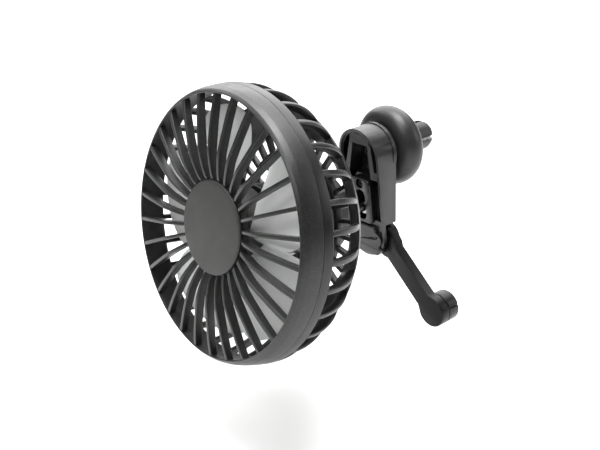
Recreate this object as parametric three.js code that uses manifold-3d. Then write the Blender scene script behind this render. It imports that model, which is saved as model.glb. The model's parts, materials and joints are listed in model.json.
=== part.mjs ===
// Car air-vent fan: round fan head on a ball joint, hollow arm, four-prong vent clamp and a swing-out leg.
// Millimetres. +Z up, the fan blows towards -Y, +Y points into the vent, +X is to the right seen from the front.
// The origin is on the clamp's axis, in the middle of the prongs where a vent slat is gripped.
import * as THREE from 'three';
import { mergeVertices } from 'three/addons/utils/BufferGeometryUtils.js';
import Module from 'manifold-3d';

const wasm = await Module();
wasm.setup();
const { Manifold, Mesh } = wasm;
const PI = Math.PI;

// ---------------------------------------------------------------- driving dimensions
const GRIP_D = 34.0;          // depth from the arm's front plane at the clamp axis to the grip centre (origin)
const HEAD_TILT = 10.9;       // degrees the head looks up at rest
const BALL = { d: 5.8, h: -25.2, r: 3.8 };   // ball centre: depth and height from the clamp axis
const BALL_HY = 84.2;         // ball centre behind the grille's opening plane, along the head's axis

const SPOKES = 30;            // front grille spokes
const SPOKE_W = 1.75;
const CAP_R = 18.3;           // badge disc
const OPEN_R = 50.8;          // clear opening inside the bezel
const RING_R = 55.0;          // largest radius of the head
const BEZEL_BACK = 8.0;       // front guard ends here, the cage's band starts
const BAND_BACK = 12.4;
const RIBS = 32;              // side ribs of the rear cage
const RIB_W = 2.5;
const RIB_TURN = -1.75 * PI / 180; // the rib pattern is turned this much about the head's axis
const CAGE_BACK = 42.0;       // rear face of the cage

const HUB_R = 15.0;           // rotor hub
const TIP_R = 46.5;           // blade tip radius
const BLADES = 5;
const BLADE_TURN = 32.0;      // degrees the first blade is turned from +X at rest
const SHAFT_R = 1.0;
const CAN_R = 12.2;           // motor can

const POD_R = 17.6;           // rear housing
const POD_BACK = 57.0;
const PCB_HY = 44.4;
const BUTTON_HY = 50.3, BUTTON_R = 3.5;
const INLET_HY = 47.8;
const POSTS = [45, 135, 225, 315], POST_R = 13.9; // screw posts of the rear housing

const ARM_R = 11.85;          // half width of the stadium arm
const ARM_DROP = 36.0;        // distance between the arm's end centres
const ARM_BACK = 10.9;        // rear face of the arm
const SLANT = 0.1;            // the arm's front plane moves back this much per mm downwards
const CUT_H = -30.4;          // the rear of the arm is cut away below this for the leg
const WALL = 1.8;

const NUT_R = 17.5;           // clamp nut
const NUT_FRONT = 12.75, NUT_BACK = 25.4;
const PRONG_R = 6.6, PRONG_END = 42.0;
const LEG_PIVOT = { w: 7.2, h: -38.2 };
const LEG_ANGLE = 49.0;       // degrees the leg is swung out from straight down at rest
const LEG_LEN = 39.1;         // pivot to foot centre
const LEG_W = 8.4, LEG_D0 = 6.6, LEG_D1 = 11.1, LEG_BOSS = 7.2, FOOT_R = 6.8, FOOT_BACK = 17.3;

// ---------------------------------------------------------------- solids
function solid(geom) {
  const g0 = geom.index ? geom.clone() : geom.clone();
  g0.deleteAttribute('normal');
  if (g0.getAttribute('uv')) g0.deleteAttribute('uv');
  const g = mergeVertices(g0, 1e-4);
  const idx = Array.from(g.index.array), out = [];
  for (let i = 0; i < idx.length; i += 3) {
    const [a, b, c] = [idx[i], idx[i + 1], idx[i + 2]];
    if (a !== b && b !== c && a !== c) out.push(a, b, c);
  }
  const vp = new Float32Array(g.getAttribute('position').array);
  let m = new Manifold(new Mesh({ numProp: 3, vertProperties: vp, triVerts: new Uint32Array(out) }));
  if (m.volume() < 0) {
    for (let i = 0; i < out.length; i += 3) { const t = out[i]; out[i] = out[i + 1]; out[i + 1] = t; }
    m = new Manifold(new Mesh({ numProp: 3, vertProperties: vp, triVerts: new Uint32Array(out) }));
  }
  return m;
}
const union = (...ms) => ms.flat().reduce((a, b) => a.add(b));
const cut = (a, ...ms) => ms.flat().reduce((x, b) => x.subtract(b), a);

// ring or solid of revolution about Y from [radius, y] pairs
function lathe(profile, seg = 48, phase = 0) {
  const pts = profile.map(([r, y]) => new THREE.Vector2(r, y));
  pts.push(pts[0].clone());
  const g = new THREE.LatheGeometry(pts, seg);
  if (phase) g.rotateY(phase);
  return solid(g);
}
function disc(r, y0, y1, seg = 32, x = 0, z = 0) {        // cylinder along Y
  const g = new THREE.CylinderGeometry(r, r, y1 - y0, seg);
  g.translate(x, (y0 + y1) / 2, z);
  return solid(g);
}
function pinZ(r, z0, z1, seg, x, y) {                     // cylinder along Z
  const g = new THREE.CylinderGeometry(r, r, z1 - z0, seg);
  g.rotateX(PI / 2);
  g.translate(x, y, (z0 + z1) / 2);
  return solid(g);
}
function box(x0, x1, y0, y1, z0, z1) {
  const g = new THREE.BoxGeometry(x1 - x0, y1 - y0, z1 - z0);
  g.translate((x0 + x1) / 2, (y0 + y1) / 2, (z0 + z1) / 2);
  return solid(g);
}
function shapeOf(pts) { return new THREE.Shape(pts.map(([x, y]) => new THREE.Vector2(x, y))); }
// outline in x,z pushed along Y from y0 to y1
function plateY(pts, y0, y1) {
  const g = new THREE.ExtrudeGeometry(shapeOf(pts), { depth: y1 - y0, bevelEnabled: false });
  g.rotateX(PI / 2);
  g.translate(0, y1, 0);
  return solid(g);
}
// outline in y,z pushed along X from x0 to x1
function plateX(pts, x0, x1) {
  const g = new THREE.ExtrudeGeometry(shapeOf(pts), { depth: x1 - x0, bevelEnabled: false });
  // shape (a,b,depth) -> (depth, a, b)
  g.applyMatrix4(new THREE.Matrix4().set(0, 0, 1, x0, 1, 0, 0, 0, 0, 1, 0, 0, 0, 0, 0, 1));
  return solid(g);
}
// radial plate: outline in radius,y, thickness w across, turned to angle a about Y
function radial(pts, w, a) {
  const g = new THREE.ExtrudeGeometry(shapeOf(pts), { depth: w, bevelEnabled: false });
  g.translate(0, 0, -w / 2);
  g.rotateY(a);
  return solid(g);
}
function arcPts(cx, cy, r, a0, a1, n) {
  const out = [];
  for (let i = 0; i <= n; i++) { const t = (a0 + (a1 - a0) * i / n) * PI / 180; out.push([cx + r * Math.cos(t), cy + r * Math.sin(t)]); }
  return out;
}
function stadium(r, drop, n = 14, cx = 0, top = 0) {
  return [...arcPts(cx, top, r, 0, 180, n), ...arcPts(cx, top - drop, r, 180, 360, n)];
}
function roundRect(x0, x1, y0, y1, r, n = 4) {
  return [...arcPts(x1 - r, y1 - r, r, 0, 90, n), ...arcPts(x0 + r, y1 - r, r, 90, 180, n),
    ...arcPts(x0 + r, y0 + r, r, 180, 270, n), ...arcPts(x1 - r, y0 + r, r, 270, 360, n)];
}

// head frame: y = depth behind the opening plane; the mount frame: y = depth behind the arm's front plane
const headM = new THREE.Matrix4().makeTranslation(0, BALL.d - GRIP_D, BALL.h)
  .multiply(new THREE.Matrix4().makeRotationX(-HEAD_TILT * PI / 180))
  .multiply(new THREE.Matrix4().makeTranslation(0, -BALL_HY, 0));
const mountM = new THREE.Matrix4().makeTranslation(0, -GRIP_D, 0);

const root = new THREE.Group();
root.name = 'vent_fan';
function emit(name, man, matrix, color, rough, metal) {
  const mesh = man.getMesh();
  const n = mesh.numProp, src = mesh.vertProperties, cnt = src.length / n;
  const pos = new Float32Array(cnt * 3);
  for (let i = 0; i < cnt; i++) { pos[3 * i] = src[n * i]; pos[3 * i + 1] = src[n * i + 1]; pos[3 * i + 2] = src[n * i + 2]; }
  const g = new THREE.BufferGeometry();
  g.setAttribute('position', new THREE.BufferAttribute(pos, 3));
  g.setIndex(Array.from(mesh.triVerts));
  g.applyMatrix4(matrix);
  g.computeVertexNormals();
  const m = new THREE.Mesh(g, new THREE.MeshStandardMaterial({ color, roughness: rough, metalness: metal, flatShading: true }));
  m.name = name;
  root.add(m);
}
const BLACK = 0x1b1c1d, CHAR = 0x2e3030, CAPC = 0x3a3b3a, SILVER = 0xc9cdca, STEEL = 0x9a9c9e, RUB = 0x121212;

// ---------------------------------------------------------------- front guard: bezel, spokes, hub
{
  const bezel = lathe([[50.7, 0.15], [51.3, 0.0], [52.4, 1.1], [53.4, 3.6], [54.45, BEZEL_BACK],
    [52.6, BEZEL_BACK], [52.6, 10.6], [51.2, 10.6], [51.2, 4.0]], 60, PI / 60);
  const hub = lathe([[0, 0.9], [18.9, 0.9], [18.9, 3.3], [16.8, 3.3], [16.8, 2.4], [0, 2.4]], 60, PI / 60);
  const prof = [[18.75, -0.5], [31, -2.3], [42, -1.35], [51.4, 0.3],
    [51.6, 3.2], [42, 1.7], [31, 0.9], [18.75, 2.8], [17.2, 2.9], [17.2, 1.3], [18.75, 1.3]];
  const spokes = [];
  for (let i = 0; i < SPOKES; i++) spokes.push(radial(prof, SPOKE_W, i * 2 * PI / SPOKES));
  emit('front_guard', union(bezel, hub, spokes), headM, CHAR, 0.42, 0);
}
emit('badge_disc', lathe([[0, -0.7], [17.9, -0.7], [CAP_R, -0.35], [CAP_R, 0.6], [0, 0.6]], 60), headM, CAPC, 0.5, 0);

// ---------------------------------------------------------------- rear cage: band, ribs, rings, motor cup
{
  const band = lathe([[54.5, 8.3], [RING_R, BAND_BACK], [52.9, BAND_BACK], [52.9, 8.3]], 64, PI / 64 + RIB_TURN);
  const ring = lathe([[48.0, 31.2], [44.8, 35.0], [38.6, 41.0], [36.2, CAGE_BACK], [35.0, CAGE_BACK], [35.0, 38.9], [43.6, 31.2]], 64, PI / 64 + RIB_TURN);
  const mid = lathe([[28.5, 38.7], [28.5, CAGE_BACK - 0.3], [26.0, CAGE_BACK - 0.3], [26.0, 38.7]], 32, PI / 32 + RIB_TURN);
  const cup = lathe([[0, 40.0], [12.7, 40.0], [12.7, 19.0], [15.2, 19.0], [15.2, CAGE_BACK], [0, CAGE_BACK]], 32, PI / 32 + RIB_TURN);
  const side = [[54.75, 12.1], [54.1, 19.5], [50.8, 27.5], [47.6, 31.5], [44.0, 31.5], [48.6, 24], [51.0, 18], [52.95, 12.1]];
  const ribs = [];
  for (let i = 0; i < RIBS; i++) {
    const a = i * 2 * PI / RIBS + RIB_TURN;
    ribs.push(radial(side, RIB_W, a));
    ribs.push(radial([[i % 2 ? 27.2 : 14.6, CAGE_BACK], [i % 2 ? 27.2 : 14.6, 39.0], [37.0, 39.0], [37.0, CAGE_BACK - 0.5], [36.6, CAGE_BACK]].reverse(), 2.2, a));
  }
  let cage = union(band, ring, mid, cup, ribs);
  const holes = [disc(4.2, 39, 43, 20)];
  for (const k of [0, 1]) holes.push(disc(1.2, 39, 43, 12, k ? 8.5 : -8.5, 0));
  for (const a of POSTS) holes.push(disc(1.0, 36.5, 43, 10, POST_R * Math.cos(a * PI / 180), POST_R * Math.sin(a * PI / 180)));
  emit('rear_cage', cut(cage, holes), headM, BLACK, 0.5, 0);
}

// ---------------------------------------------------------------- rotor
{
  const hub = lathe([[0, 5.2], [13.6, 5.2], [HUB_R, 6.4], [HUB_R, 16.2], [13.4, 16.2], [13.4, 7.2], [3.2, 7.2], [3.2, 14.5], [1.3, 14.5], [1.3, 6.9], [0, 6.9]], 40);
  const blades = [];
  const NA = 5, NR = 2;
  for (let b = 0; b < BLADES; b++) {
    const g = new THREE.BoxGeometry(1, 1, 1, NR, 1, NA);
    const p = g.getAttribute('position');
    for (let i = 0; i < p.count; i++) {
      const u = p.getX(i) + 0.5, v = p.getY(i), w = p.getZ(i) + 0.5;     // u along radius, v thickness, w along chord
      const r = 13.9 + (TIP_R - 13.9) * u;
      const span = 58 + 8 * Math.sin(PI * Math.min(1, u * 0.95));
      const sweep = 5 * u * u - 1;
      const edge = 1 - 0.11 * Math.pow(2 * w - 1, 4) * u * u;            // rounded tip corners
      const a = (BLADE_TURN + b * 360 / BLADES + sweep + (w - 0.5) * span) * PI / 180;
      const rr = 13.9 + (r - 13.9) * edge;
      const rise = (w - 0.5) * (9.4 - 1.6 * u) - 0.9 * Math.sin(PI * w);
      p.setXYZ(i, rr * Math.cos(a), 11.2 + rise + v * (1.7 - 0.5 * u), rr * Math.sin(a));
    }
    blades.push(solid(g));
  }
  emit('fan_rotor', union(hub, blades), headM, SILVER, 0.3, 0);
}
emit('motor_shaft', disc(SHAFT_R, 7.4, 23.5, 20), headM, STEEL, 0.25, 1);
{
  let can = union(disc(CAN_R, 19.3, 38.4, 32), disc(3.6, 17.4, 19.4, 24));
  can = cut(can, disc(1.3, 17, 24.2, 20), disc(1.2, 36.0, 39, 12, 8.5, 0), disc(1.2, 36.0, 39, 12, -8.5, 0));
  emit('motor_can', can, headM, STEEL, 0.35, 1);
  let cap = disc(11.8, 38.7, 39.7, 32);
  cap = cut(cap, disc(1.2, 38, 40, 12, 8.5, 0), disc(1.2, 38, 40, 12, -8.5, 0));
  emit('motor_endcap', cap, headM, BLACK, 0.6, 0);
}
for (const k of [0, 1]) {
  const x = k ? 8.5 : -8.5;
  emit('motor_screw_' + (k + 1), union(disc(2.0, 42.3, 43.5, 16, x, 0), disc(0.9, 36.4, 42.4, 12, x, 0)), headM, STEEL, 0.3, 1);
}
for (const [n, x, c] of [['motor_lead_red', 2.0, 0x8c1f1c], ['motor_lead_black', -2.0, 0x101010]]) {
  const path = new THREE.CatmullRomCurve3([new THREE.Vector3(x, 40.0, 0), new THREE.Vector3(x * 1.1, 41.6, 0.8), new THREE.Vector3(x * 1.4, 43.2, 1.0), new THREE.Vector3(x * 1.5, 44.1, 1.0)]);
  const sh = shapeOf(arcPts(0, 0, 0.55, 0, 360, 8).slice(0, 8));
  emit(n, solid(new THREE.ExtrudeGeometry(sh, { steps: 5, extrudePath: path, bevelEnabled: false })), headM, c, 0.5, 0);
}

// ---------------------------------------------------------------- rear housing (pod) with board, button and inlet
{
  let board = disc(15.2, PCB_HY, PCB_HY + 1.4, 40);
  for (const a of POSTS) board = cut(board, disc(3.0, PCB_HY - 1, PCB_HY + 3, 12, POST_R * Math.cos(a * PI / 180), POST_R * Math.sin(a * PI / 180)));
  emit('control_board', board, headM, 0x1f4a2c, 0.5, 0);
  emit('tact_switch', union(box(-3.0, 3.0, 46.1, 52.1, 5.4, 9.6), pinZ(1.4, 9.5, 11.0, 12, 0, BUTTON_HY)), headM, 0x2a2a2a, 0.4, 0);
  emit('speed_button', union(pinZ(BUTTON_R, 11.6, 18.6, 24, 0, BUTTON_HY), pinZ(4.1, 11.6, 12.7, 24, 0, BUTTON_HY)), headM, CHAR, 0.45, 0);
  let usb = box(-4.5, 4.5, INLET_HY - 1.7, INLET_HY + 1.7, -17.6, -10.0);
  usb = cut(usb, box(-4.15, 4.15, INLET_HY - 1.3, INLET_HY + 1.3, -18.5, -11.4));
  usb = union(usb, box(-3.2, 3.2, INLET_HY - 0.3, INLET_HY + 0.3, -16.6, -11.0));
  emit('usb_inlet', usb, headM, STEEL, 0.3, 1);

  let pod = lathe([[0, 54.8], [15.8, 54.8], [15.8, 42.4], [POD_R, 42.4], [POD_R, 55.2], [16.8, POD_BACK], [9.4, POD_BACK], [6.4, 60.0], [5.8, 68.0], [0, 68.0]], 40);
  const posts = POSTS.map(a => disc(2.4, 42.4, 55.5, 14, POST_R * Math.cos(a * PI / 180), POST_R * Math.sin(a * PI / 180)));
  const ped = cut(box(-8.0, 8.0, 44.6, 54.8, -18.4, -14.0), disc(15.8, 40, 54.8, 48));
  pod = union(pod, posts, ped);
  const bores = [disc(2.3, 50, 70, 24)];
  for (const a of POSTS) {
    const x = POST_R * Math.cos(a * PI / 180), z = POST_R * Math.sin(a * PI / 180);
    bores.push(disc(1.0, 42, 58, 10, x, z), disc(2.3, 55.3, 58, 14, x, z));
  }
  bores.push(pinZ(BUTTON_R + 0.3, 12, 20, 24, 0, BUTTON_HY), box(-4.8, 4.8, INLET_HY - 2.0, INLET_HY + 2.0, -20, -12));
  emit('pod_shell', cut(pod, bores), headM, BLACK, 0.5, 0);
  POSTS.forEach((a, i) => {
    const x = POST_R * Math.cos(a * PI / 180), z = POST_R * Math.sin(a * PI / 180);
    emit('pod_screw_' + (i + 1), cut(union(disc(2.0, 55.6, 56.9, 12, x, z), disc(0.7, 37.2, 55.7, 8, x, z)), box(x - 1.3, x + 1.3, 56.4, 58, z - 0.25, z + 0.25)), headM, STEEL, 0.3, 1);
  });
}

// ---------------------------------------------------------------- ball stud, nut and liner
{
  const ball = [];
  const neckR = 1.9;
  const a0 = Math.asin(neckR / BALL.r);
  for (let i = 0; i <= 7; i++) { const t = a0 + (PI - a0) * i / 7; ball.push([i === 7 ? 0 : BALL.r * Math.sin(t), BALL_HY - BALL.r * Math.cos(t)]); }
  emit('ball_stud', lathe([[0, 50.4], [2.0, 50.4], [2.0, 68.3], [4.6, 68.3], [4.6, 70.2], [3.0, 71.2], [neckR, 74.0], ...ball], 24), headM, STEEL, 0.3, 1);
  const nut = new THREE.CylinderGeometry(4.2, 4.2, 2.8, 6);
  nut.translate(0, 53.1, 0);
  emit('stud_nut', cut(solid(nut), disc(2.3, 50, 56, 24)), headM, STEEL, 0.35, 1);
  // liner: a shallow cup behind the ball, centred on it
  const a1 = 12, a2 = 78, n = 4, ri = BALL.r + 0.25, ro = BALL.r + 0.8, pr = [];
  for (let i = 0; i <= n; i++) { const t = (a1 + (a2 - a1) * i / n) * PI / 180; pr.push([ro * Math.sin(t), ro * Math.cos(t)]); }
  for (let i = n; i >= 0; i--) { const t = (a1 + (a2 - a1) * i / n) * PI / 180; pr.push([ri * Math.sin(t), ri * Math.cos(t)]); }
  const liner = lathe(pr, 24);
  emit('ball_liner', liner, new THREE.Matrix4().makeTranslation(0, BALL.d - GRIP_D, BALL.h), 0xd8d4c8, 0.5, 0);
}

// ---------------------------------------------------------------- arm
const slantCut = (off, y0) => plateX([[y0, 30], [off - SLANT * 30, 30], [off + SLANT * 70, -70], [y0, -70]], -30, 30);   // everything in front of the slanted plane + off
{
  let arm = union(plateY(stadium(ARM_R, ARM_DROP), -3, ARM_BACK), disc(12.25, 9.2, ARM_BACK, 40));
  arm = cut(arm, slantCut(0, -20));
  // rear lower cut for the leg
  arm = cut(arm, plateX([[1.5 - SLANT * CUT_H, CUT_H], [30, CUT_H], [30, -70], [1.5 + SLANT * 70, -70]], -30, 30));
  // hollow, open at the front
  const cav = plateY(stadium(ARM_R - WALL, ARM_DROP), -6, 8.9);
  const upper = cav.intersect(box(-30, 30, -10, 30, -29.2, 30));
  const lower = cav.intersect(plateX([[-10, -29.1], [0.7 + 2.91, -29.1], [0.7 + 7, -70], [-10, -70]], -30, 30));
  arm = cut(arm, upper, lower);
  // ribs that spread from the top land, either side of the clamp screw
  const land = plateY([[-6.0, 9.3], [6.0, 9.3], [5.6, 4.9], [-5.6, 4.9]], 0.6, 9.2);
  const ribL = plateY([[-6.0, 6.5], [-4.4, 5.0], [-6.6, -9.5], [-10.4, -9.5], [-10.4, -6.0], [-8.6, -6.0]], 0.9, 9.2);
  const ribR = plateY([[6.0, 6.5], [8.6, -6.0], [10.4, -6.0], [10.4, -9.5], [6.6, -9.5], [4.4, 5.0]], 0.9, 9.2);
  // socket block that carries the ball seat
  const block = plateY(roundRect(-7.2, 7.2, -30.2, -10.2, 1.5), 5.3, 9.2);
  const boss = disc(5.2, 10.2, 12.2, 32, 0, BALL.h);
  // smooth hump in the lower front, and the leg screw's boss
  const humpPts = [[-7.0, -32.2], [7.0, -32.2], [8.2, -38.0], [9.2, -42.0], [10.9, -42.4], [7.2, -46.6], [0, -47.0], [-7.2, -46.6], [-10.9, -42.4], [-9.2, -42.0], [-8.2, -38.0]];
  let hump = plateY(humpPts, -3, 7);
  hump = cut(hump, slantCut(-0.9, -20), plateX([[1.4 + 2, -20], [30, -20], [30, -70], [1.4 + 7, -70]], -30, 30));
  const legBoss = cut(disc(3.2, 2.6, 6.3, 24, LEG_PIVOT.w, LEG_PIVOT.h), slantCut(-0.9, -20));
  arm = union(arm, land, ribL, ribR, block, hump, legBoss);
  arm = union(arm, boss);
  const seat = (() => { const g = new THREE.SphereGeometry(BALL.r + 1.1, 24, 14); g.translate(0, BALL.d, BALL.h); return solid(g); })();
  arm = cut(arm, seat, box(-3.4, 3.4, 8.0, 12.0, -3.4, 3.4),
    disc(1.2, 3.4, 8, 14, LEG_PIVOT.w, LEG_PIVOT.h), disc(1.1, 4, 8.2, 12, 0, -12.9));
  emit('arm_shell', arm, mountM, BLACK, 0.45, 0);

  // cover that keeps the ball in its seat
  const pocket = (() => { const g = new THREE.SphereGeometry(BALL.r + 0.3, 24, 14); g.translate(0, BALL.d, BALL.h); return solid(g); })();
  let cover = cut(plateY(roundRect(-6.0, 6.0, -31.4, -10.6, 2.4), -2, 5.0), slantCut(-0.9, -20));
  cover = cut(cover, plateY(roundRect(-2.9, 2.9, -29.9, -15.6, 2.8), -3, 6), pocket);
  cover = cut(cover, disc(1.3, -3, 6, 16, 0, -12.9), disc(2.2, -3, 2.4, 20, 0, -12.9), plateX([[3.3, -28.9], [7, -28.9], [7, -40], [3.3, -40]], -20, 20));
  emit('socket_cover', cover, mountM, CHAR, 0.45, 0);
}

emit('cover_screw', union(disc(1.9, 1.0, 2.1, 16, 0, -12.9), disc(0.8, 2.0, 7.8, 12, 0, -12.9)), mountM, STEEL, 0.3, 1);

// ---------------------------------------------------------------- vent clamp
{
  // flange, threaded shank and four prongs in one moulding, keyed into the arm by a square tenon
  let col = union(box(-3.0, 3.0, 9.1, 11.3, -3.0, 3.0), disc(9.0, 11.2, 12.4, 28),
    lathe([[0, 12.3], [6.9, 12.3], [6.9, 24.0], [6.1, 26.0], [6.3, 30.0], [PRONG_R, 36.0], [PRONG_R, 38.6], [5.6, 40.9], [3.6, PRONG_END], [0, PRONG_END]], 28));
  const slot = 0.9;
  col = cut(col, disc(1.15, 8, 26, 14), disc(2.4, 26.5, 44, 24),
    box(-slot, slot, 27.5, 44, -9, 9), box(-9, 9, 27.5, 44, -slot, slot));
  emit('clamp_collet', col, mountM, CHAR, 0.5, 0);
  emit('clamp_washer', cut(disc(4.2, 7.9, 8.6, 28), disc(1.4, 7, 9, 16)), mountM, STEEL, 0.3, 1);
  emit('clamp_screw', union(disc(2.6, 6.3, 7.6, 20), disc(0.9, 7.5, 22.0, 14)), mountM, STEEL, 0.3, 1);
  // doughnut nut
  const tube = (NUT_BACK - NUT_FRONT) / 2, rc = NUT_R - tube, dc = (NUT_FRONT + NUT_BACK) / 2;
  const pr = [];
  for (let i = 0; i <= 7; i++) { const t = (-90 + 180 * i / 7) * PI / 180; pr.push([rc + tube * Math.cos(t), dc + tube * Math.sin(t)]); }
  pr.push([7.6, NUT_BACK], [7.2, 24.9], [7.2, 15.0], [10.0, 15.0], [10.0, NUT_FRONT + 0.2]);
  emit('clamp_nut', lathe(pr, 32), mountM, CHAR, 0.38, 0);
  emit('nut_ring', lathe([[7.3, 12.9], [9.5, 12.9], [9.5, 14.6], [7.3, 14.6]], 32), mountM, 0x5a5a58, 0.5, 0);
}

// ---------------------------------------------------------------- swing-out leg
{
  // drawn straight down from the pivot, then turned out about the pivot
  const swing = new THREE.Matrix4().makeTranslation(LEG_PIVOT.w, -GRIP_D, LEG_PIVOT.h).multiply(new THREE.Matrix4().makeRotationY(-LEG_ANGLE * PI / 180));
  const hw = LEG_W / 2;
  const y1 = -Math.sqrt(LEG_BOSS ** 2 - hw ** 2) - 1.2, y2 = -LEG_LEN + Math.sqrt(FOOT_R ** 2 - hw ** 2) + 1.0;
  const outline = [...arcPts(0, 0, LEG_BOSS, -32, 212, 18), [-LEG_BOSS + 1.6, -6.4], [-hw, y1 - 1.4], [-hw, y2], ...arcPts(0, -LEG_LEN, FOOT_R, 142, 398, 18), [hw, y2], [hw, y1 - 1.4], [LEG_BOSS - 1.6, -6.4]];
  let leg = plateY(outline, LEG_D0, LEG_D1);
  leg = cut(leg, disc(1.55, 6, 12, 20), disc(2.3, 8.6, 12, 20, 0, -LEG_LEN));
  emit('support_leg', leg, swing, 0x171717, 0.55, 0);
  let pad = union(disc(FOOT_R, LEG_D1 + 0.3, FOOT_BACK, 36, 0, -LEG_LEN), disc(2.0, 9.0, LEG_D1 + 0.4, 20, 0, -LEG_LEN));
  pad = cut(pad, box(-1.0, 1.0, LEG_D1 + 2.2, 19, -LEG_LEN - 9, -LEG_LEN - 4.4).rotate([0, 0, 0]));
  emit('foot_pad', pad, swing, RUB, 0.8, 0);
  emit('leg_washer', cut(disc(3.9, 11.4, 12.0, 28), disc(1.5, 11, 13, 16)), swing, STEEL, 0.3, 1);
  emit('leg_screw', union(disc(2.9, 12.3, 13.5, 20), disc(1.2, 6.6, 12.4, 16), disc(0.9, 3.8, 6.7, 16)), swing, STEEL, 0.3, 1);
}

export default root;
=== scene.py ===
import json
import math
import random

import bmesh
import bpy
from mathutils import Matrix, Vector


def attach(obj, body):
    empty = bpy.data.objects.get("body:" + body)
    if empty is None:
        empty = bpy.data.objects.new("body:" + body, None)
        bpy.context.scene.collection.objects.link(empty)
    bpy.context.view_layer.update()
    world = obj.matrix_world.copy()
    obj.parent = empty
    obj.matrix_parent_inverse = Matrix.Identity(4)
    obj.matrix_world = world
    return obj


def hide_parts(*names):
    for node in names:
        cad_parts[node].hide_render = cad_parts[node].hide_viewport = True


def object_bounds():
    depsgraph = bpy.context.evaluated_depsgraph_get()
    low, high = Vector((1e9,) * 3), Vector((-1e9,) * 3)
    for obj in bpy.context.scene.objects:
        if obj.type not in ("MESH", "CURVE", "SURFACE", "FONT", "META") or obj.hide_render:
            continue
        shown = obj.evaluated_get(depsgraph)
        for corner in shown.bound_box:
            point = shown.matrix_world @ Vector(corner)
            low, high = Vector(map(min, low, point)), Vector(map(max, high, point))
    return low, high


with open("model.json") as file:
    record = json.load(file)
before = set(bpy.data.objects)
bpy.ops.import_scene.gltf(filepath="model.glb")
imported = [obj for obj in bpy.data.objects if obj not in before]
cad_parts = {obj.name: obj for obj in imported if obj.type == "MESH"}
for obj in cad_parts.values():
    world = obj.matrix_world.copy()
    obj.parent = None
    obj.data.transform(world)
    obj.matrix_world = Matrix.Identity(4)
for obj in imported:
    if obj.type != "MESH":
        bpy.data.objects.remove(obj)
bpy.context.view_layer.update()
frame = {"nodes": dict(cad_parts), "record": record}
random.seed(7)

PI = math.pi
MM = 0.001

# ------------------------------------------------------------------ frames (millimetres in, metres out)
GRIP_D = 34.0
TILT = math.radians(10.9)
BALL_D, BALL_H, BALL_R = 5.8, -25.2, 3.8
BALL_HY = 84.2
SLANT = 0.1
S = Matrix.Scale(MM, 4)
HEAD = S @ Matrix.Translation((0, BALL_D - GRIP_D, BALL_H)) @ Matrix.Rotation(-TILT, 4, "X") @ Matrix.Translation((0, -BALL_HY, 0))
MOUNT = S @ Matrix.Translation((0, -GRIP_D, 0))
LEG_PIVOT = (7.2, -38.2)
LEG_LEN = 39.1
LEG = S @ Matrix.Translation((LEG_PIVOT[0], -GRIP_D, LEG_PIVOT[1])) @ Matrix.Rotation(-math.radians(49.0), 4, "Y")

SPOKES, RIBS, BLADES = 30, 32, 5
RIB_TURN = math.radians(1.75)
BLADE_TURN = 32.0


# ------------------------------------------------------------------ mesh building
def finish_mesh(bm, name, matrix, sharp=38.0, merge=1e-4):
    bmesh.ops.remove_doubles(bm, verts=bm.verts, dist=merge)
    bmesh.ops.dissolve_degenerate(bm, edges=bm.edges, dist=merge)
    bmesh.ops.recalc_face_normals(bm, faces=bm.faces)
    me = bpy.data.meshes.new(name)
    bm.to_mesh(me)
    bm.free()
    if me.polygons and signed_volume(me) < 0:
        me.flip_normals()
    me.transform(matrix)
    for p in me.polygons:
        p.use_smooth = True
    me.set_sharp_from_angle(angle=math.radians(sharp))
    ob = bpy.data.objects.new(name, me)
    bpy.context.scene.collection.objects.link(ob)
    return ob


def signed_volume(me):
    v = 0.0
    me.calc_loop_triangles()
    co = me.vertices
    for t in me.loop_triangles:
        a, b, c = (co[i].co for i in t.vertices)
        v += a.dot(b.cross(c))
    return v


def rounded(poly, rad, n=4):
    """Polygon with its corners rounded; a corner may give its own radius as a third number."""
    out = []
    N = len(poly)
    for i, p in enumerate(poly):
        r = p[2] if len(p) > 2 else rad
        P = Vector((p[0], p[1]))
        a = Vector(poly[i - 1][:2]) - P
        b = Vector(poly[(i + 1) % N][:2]) - P
        if r <= 0 or a.length < 1e-6 or b.length < 1e-6:
            out.append((P.x, P.y))
            continue
        la, lb = a.length, b.length
        a.normalize(); b.normalize()
        ang = math.acos(max(-1, min(1, a.dot(b))))
        if ang > math.radians(172) or ang < math.radians(4):
            out.append((P.x, P.y))
            continue
        t = min(r / math.tan(ang / 2), 0.46 * la, 0.46 * lb)
        re = t * math.tan(ang / 2)
        c = P + (a + b).normalized() * (re / math.sin(ang / 2))
        s, e = P + a * t - c, P + b * t - c
        a0, a1 = math.atan2(s.y, s.x), math.atan2(e.y, e.x)
        d = (a1 - a0 + PI) % (2 * PI) - PI
        k = max(2, int(round(n * abs(d) / (PI / 2))) + 1)
        for j in range(k + 1):
            w = a0 + d * j / k
            out.append((c.x + re * math.cos(w), c.y + re * math.sin(w)))
    return out


def bm_lathe(bm, profile, seg, phase=0.0):
    """Closed outline of (radius, y) turned about Y."""
    rings = []
    for k in range(seg):
        f = phase + 2 * PI * k / seg
        rings.append([bm.verts.new((r * math.cos(f), y, r * math.sin(f))) for r, y in profile])
    n = len(profile)
    for k in range(seg):
        A, B = rings[k], rings[(k + 1) % seg]
        for i in range(n):
            j = (i + 1) % n
            if profile[i][0] < 1e-6 and profile[j][0] < 1e-6:
                continue
            bm.faces.new((A[i], A[j], B[j], B[i]))


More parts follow.
